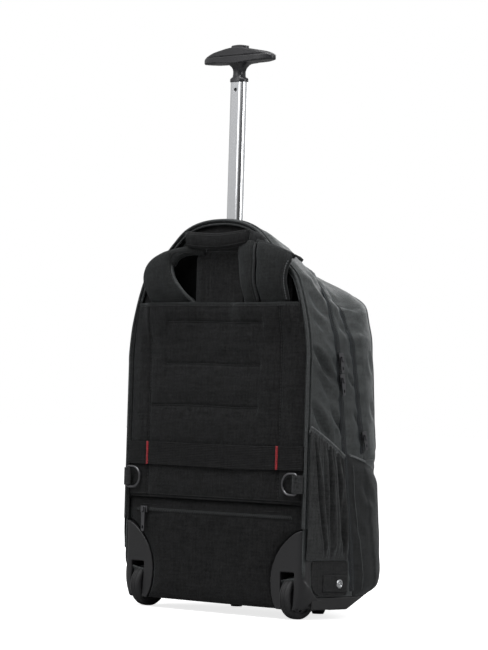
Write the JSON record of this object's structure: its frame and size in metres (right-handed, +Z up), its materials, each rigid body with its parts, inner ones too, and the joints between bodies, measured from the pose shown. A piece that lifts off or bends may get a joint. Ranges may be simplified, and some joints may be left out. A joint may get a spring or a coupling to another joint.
{
  "type": "rolling laptop case",
  "caption": "Wheeled laptop backpack with a one-post telescopic T-grip handle, corner wheels in moulded housings, stowed shoulder straps and a front section that zips open.",
  "frame": {"origin": "on the floor under the middle of the bag, in both width and depth", "axes": "+Z up; +Y towards the padded back panel, the straps and the wheels; -Y towards the front flap; +X to the right of someone who looks at the front, so to the left of someone who looks at the back panel"},
  "size_m": [0.328, 0.202, 0.7182],
  "materials": {
    "bag_fabric": "plain weave nylon with a faint sheen",
    "back_fabric": "matte fine-weave polyester",
    "pocket_fabric": "gathered stretch nylon",
    "elastic_hem": "ribbed elastic",
    "lining": "lining cloth",
    "webbing": "ribbed woven webbing",
    "red_thread": "dense satin stitch",
    "zip_tape": "coil zip tape",
    "moulded_black": "fine texture",
    "grip_black": "soft satin",
    "stiffener": "plain",
    "tyre_rubber": "smooth rubber",
    "foot_rubber": "matte",
    "post_metal": "satin anodised",
    "dark_metal": "gunmetal satin",
    "bright_metal": "polished",
    "steel": "brushed"
  },
  "bodies": {
    "root": {"outer_tube": "post_metal", "outer_tube_guide": "moulded_black", "trolley_base_bracket": "moulded_black", "trolley_exit_bezel": "moulded_black", "left_wheel_housing": "moulded_black", "right_wheel_housing": "moulded_black", "housing_screws": "steel", "wheel_axles": "steel", "base_tray": "moulded_black", "front_feet": "foot_rubber", "back_frame_sheet": "stiffener", "trolley_cover_panel": "lining", "laptop_sleeve": "lining", "back_pad": "back_fabric", "lower_back_panel": "back_fabric", "strap_stow_panel": "back_fabric", "luggage_band": "webbing", "band_bartacks": "red_thread", "back_piping": "webbing", "rear_shell": "bag_fabric", "main_zip_rear_tape": "zip_tape", "lower_zip_tape": "zip_tape", "side_pockets": "pocket_fabric", "pocket_hems": "elastic_hem", "side_base_patches": "back_fabric", "side_tabs": "webbing", "left_shoulder_strap": "back_fabric", "right_shoulder_strap": "back_fabric", "ring_tabs": "webbing"},
    "trolley_middle": {"middle_tube": "post_metal", "middle_tube_guide": "moulded_black"},
    "trolley_inner": {"inner_tube": "post_metal", "grip_lower_shell": "grip_black", "grip_upper_shell": "grip_black", "lock_block": "moulded_black", "button_spring": "steel"},
    "release_button_body": {"release_button": "grip_black", "release_rod": "steel"},
    "lock_pin_body": {"lock_pin": "steel"},
    "left_wheel": {"left_tyre": "tyre_rubber", "left_wheel_hub": "moulded_black", "left_wheel_bearings": "steel"},
    "right_wheel": {"right_tyre": "tyre_rubber", "right_wheel_hub": "moulded_black", "right_wheel_bearings": "steel"},
    "left_ring": {"left_strap_ring": "dark_metal"},
    "right_ring": {"right_strap_ring": "dark_metal"},
    "handle": {"grab_handle": "back_fabric"},
    "front_section": {"front_shell": "bag_fabric", "main_zip_front_tape": "zip_tape", "flap_zip_tape": "zip_tape"},
    "front_flap_body": {"front_flap": "bag_fabric"},
    "main_slider_top": {"main_zip_slider_top": "dark_metal"},
    "main_pull_top": {"main_zip_pull_top": "dark_metal"},
    "main_slider_low": {"main_zip_slider_low": "dark_metal"},
    "main_pull_low": {"main_zip_pull_low": "dark_metal"},
    "flap_slider": {"flap_zip_slider": "dark_metal"},
    "flap_pull": {"flap_zip_pull": "dark_metal"},
    "lower_slider": {"lower_zip_slider": "dark_metal"},
    "lower_pull": {"lower_zip_pull": "dark_metal"}
  },
  "joints": [
    {"name": "trolley_middle_slide", "type": "slide", "parent": "root", "child": "trolley_middle", "axis": [0, 0, 1], "range_m": [0, 0.23]},
    {"name": "trolley_inner_slide", "type": "slide", "parent": "trolley_middle", "child": "trolley_inner", "axis": [0, 0, 1], "range_m": [-0.18, 0.09]},
    {"name": "release_button_press", "type": "slide", "parent": "trolley_inner", "child": "release_button_body", "axis": [0, 0, -1], "range_m": [0, 0.004], "stiffness_N_per_m": 900, "deforming": ["button_spring"]},
    {"name": "lock_pin_slide", "type": "slide", "parent": "trolley_inner", "child": "lock_pin_body", "axis": [1, 0, 0], "range_m": [-0.003, 0]},
    {"name": "left_wheel_spin", "type": "hinge", "parent": "root", "child": "left_wheel", "pos_m": [0.1315, 0.064, 0.027], "axis": [1, 0, 0], "continuous": true},
    {"name": "right_wheel_spin", "type": "hinge", "parent": "root", "child": "right_wheel", "pos_m": [-0.1315, 0.064, 0.027], "axis": [1, 0, 0], "continuous": true},
    {"name": "left_ring_swing", "type": "hinge", "parent": "root", "child": "left_ring", "pos_m": [0.149, 0.0906, 0.166], "axis": [0, 0, -1], "range_deg": [0, 150]},
    {"name": "right_ring_swing", "type": "hinge", "parent": "root", "child": "right_ring", "pos_m": [-0.149, 0.0906, 0.166], "axis": [0, 0, 1], "range_deg": [0, 150]},
    {"name": "grab_handle_swing", "type": "hinge", "parent": "root", "child": "handle", "pos_m": [0, 0.0826, 0.4782], "axis": [1, 0, 0], "range_deg": [0, 50]},
    {"name": "front_section_open", "type": "hinge", "parent": "root", "child": "front_section", "pos_m": [0, -0.079, 0.0282], "axis": [1, 0, 0], "range_deg": [0, 70]},
    {"name": "front_flap_open", "type": "hinge", "parent": "front_section", "child": "front_flap_body", "pos_m": [0, -0.0886, 0.198], "axis": [1, 0, 0], "range_deg": [0, 75]},
    {"name": "main_slider_top_slide", "type": "slide", "parent": "root", "child": "main_slider_top", "axis": [0, 0.1271, 0.9919], "range_m": [0, 0.02]},
    {"name": "main_pull_top_swing", "type": "hinge", "parent": "main_slider_top", "child": "main_pull_top", "pos_m": [-0.16195, 0.02756, 0.322], "axis": [0, 0.9919, -0.1271], "range_deg": [0, 150]},
    {"name": "main_slider_low_slide", "type": "slide", "parent": "root", "child": "main_slider_low", "axis": [0, 0.1271, 0.9919], "range_m": [-0.24, 0]},
    {"name": "main_pull_low_swing", "type": "hinge", "parent": "main_slider_low", "child": "main_pull_low", "pos_m": [-0.16195, 0.02423, 0.296], "axis": [0, 0.9919, -0.1271], "range_deg": [0, 150]},
    {"name": "flap_slider_slide", "type": "slide", "parent": "front_section", "child": "flap_slider", "axis": [0, 0.1805, 0.9836], "range_m": [0, 0.1]},
    {"name": "flap_pull_swing", "type": "hinge", "parent": "flap_slider", "child": "flap_pull", "pos_m": [-0.16195, -0.01978, 0.226], "axis": [0, 0.9836, -0.1805], "range_deg": [0, 150]},
    {"name": "lower_slider_slide", "type": "slide", "parent": "root", "child": "lower_slider", "axis": [-1, 0, 0], "range_m": [0, 0.24]},
    {"name": "lower_pull_swing", "type": "hinge", "parent": "lower_slider", "child": "lower_pull", "pos_m": [0.117, 0.0909, 0.125], "axis": [1, 0, 0], "range_deg": [0, 150]}
  ],
  "couplings": [
    {"joint": "lock_pin_slide", "follows": "release_button_press", "ratio": -0.75}
  ]
}
